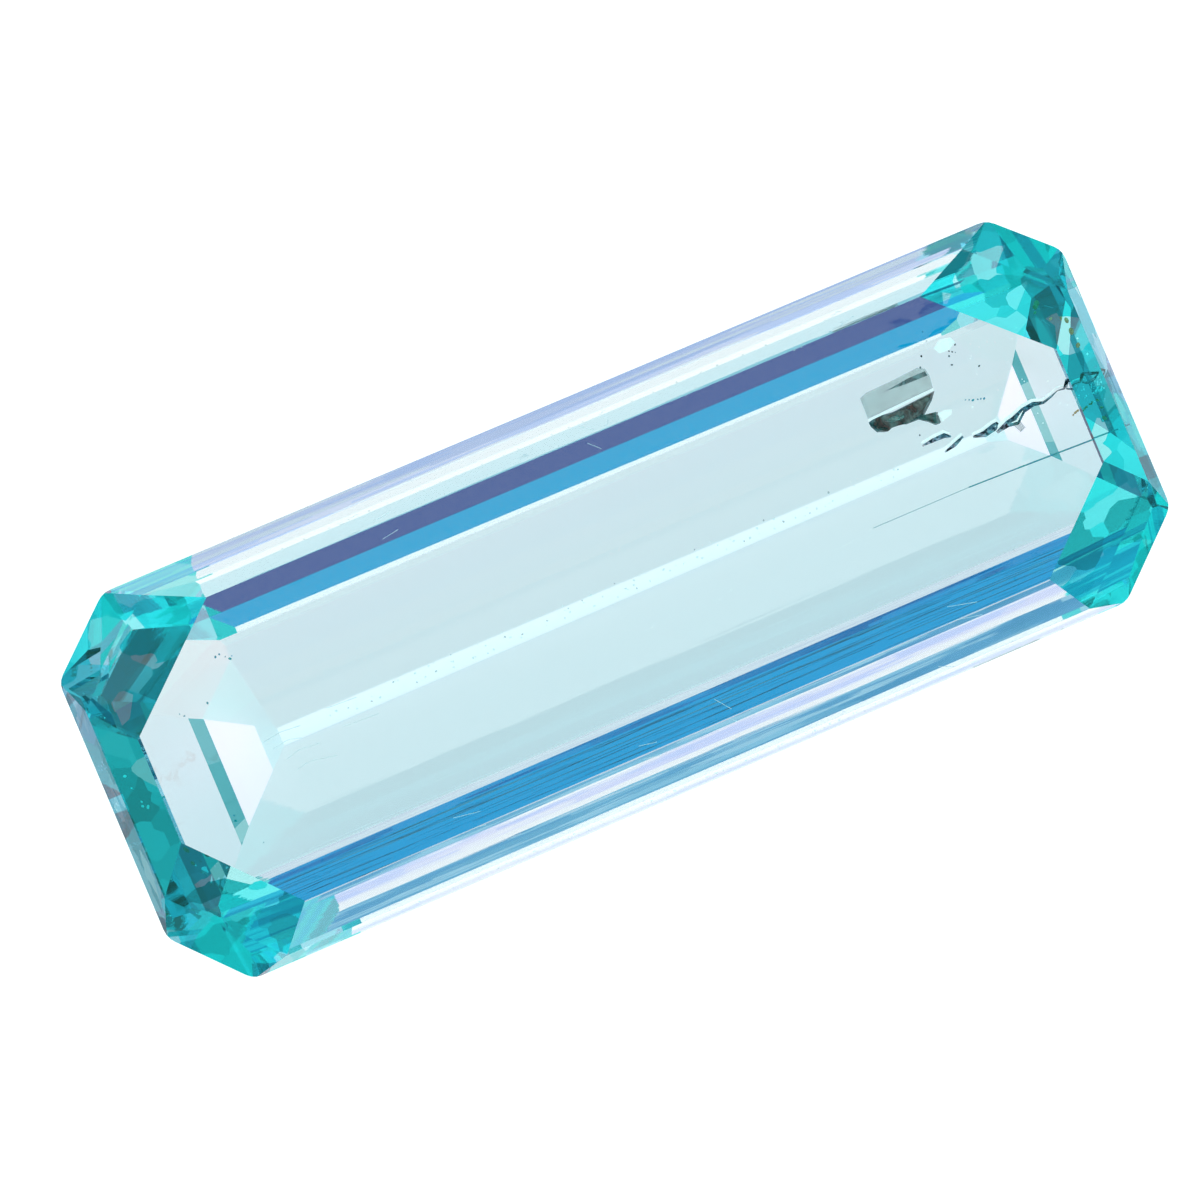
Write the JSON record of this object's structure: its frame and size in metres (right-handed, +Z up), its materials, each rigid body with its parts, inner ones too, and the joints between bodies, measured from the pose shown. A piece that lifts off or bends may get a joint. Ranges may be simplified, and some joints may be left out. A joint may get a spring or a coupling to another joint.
{
  "type": "emerald gemstone",
  "caption": "Loose step-cut emerald, a long octagonal see-through stone with a flat table and a keeled pavilion, to be set in jewellery or shown on a surface.",
  "frame": {"origin": "middle of the stone's outline seen from above, on the surface that it lies on", "axes": "X along the stone, with the end that has the dark inclusion towards -X, +Z up; the stone lies on the widest facet of one long side of its pavilion, with that side towards -Y, so its table leans towards -Y"},
  "size_m": [0.012, 0.0042, 0.0034],
  "materials": {
    "emerald_crystal": "polished facets on a clear, pale blue-green crystal"
  },
  "bodies": {
    "root": {"emerald": "emerald_crystal"}
  },
  "joints": []
}
